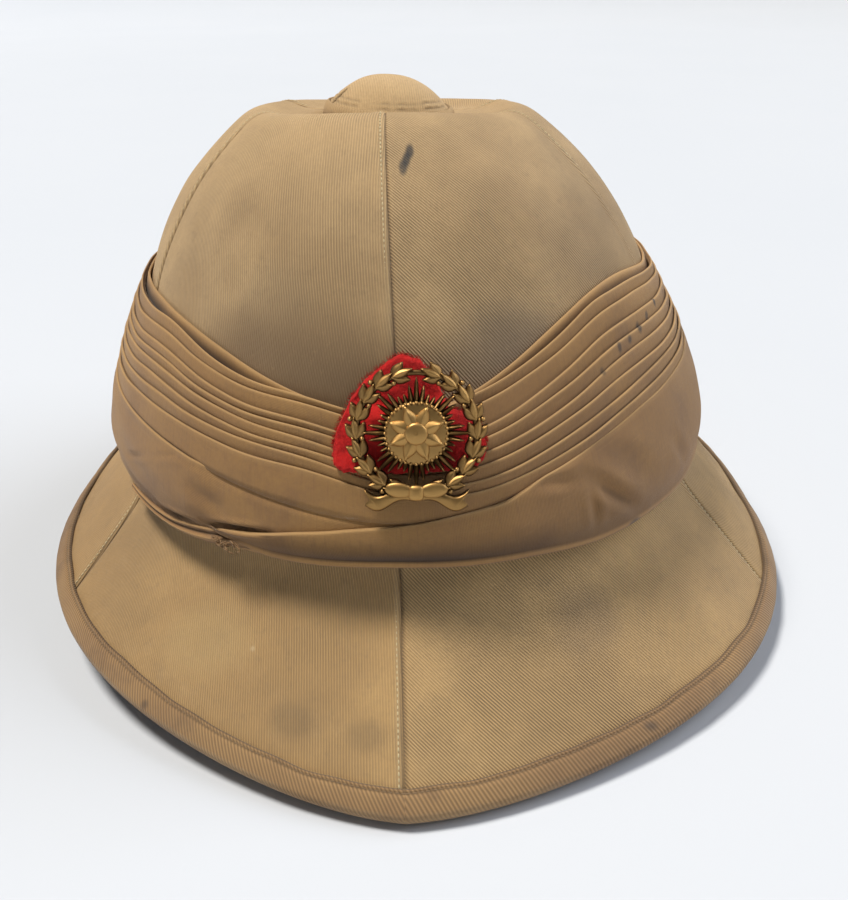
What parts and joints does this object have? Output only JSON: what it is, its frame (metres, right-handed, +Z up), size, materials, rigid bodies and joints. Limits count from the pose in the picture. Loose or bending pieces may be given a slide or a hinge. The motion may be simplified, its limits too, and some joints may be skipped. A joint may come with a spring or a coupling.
{
  "type": "pith helmet",
  "caption": "Cork sun helmet with a cloth cover, a wide downturned brim, a pleated cloth wrap, a domed top ventilator and a brass badge on felt.",
  "frame": {"origin": "on the surface that the helmet rests on, under the middle of its whole length and width", "axes": "+Z up, -Y towards the front, where the badge is, +X towards the wearer's left"},
  "size_m": [0.2682, 0.348, 0.1726],
  "materials": {
    "cork": "matt, fine-grained bare cork",
    "twill": "matt cotton twill with a raised diagonal rib, aged and stained",
    "binding": "matt twill strip, worn darker on the edge",
    "puggaree": "matt fine cotton, pleated and wound",
    "felt": "matt scarlet wool felt",
    "brass": "aged brass, brighter on the high points"
  },
  "bodies": {
    "root": {"cork_shell": "cork", "cover_panel_front_left": "twill", "cover_panel_front_right": "twill", "cover_panel_side_left": "twill", "cover_panel_side_right": "twill", "cover_panel_back_left": "twill", "cover_panel_back_right": "twill", "brim_binding": "binding", "ventilator_seat": "twill", "ventilator_cap": "twill", "puggaree_inner_fold": "puggaree", "puggaree_pleats": "puggaree", "puggaree_lower_wrap": "puggaree", "puggaree_front_tail": "puggaree", "puggaree_tucked_end": "puggaree", "badge_backing": "felt", "badge": "brass"}
  },
  "joints": []
}
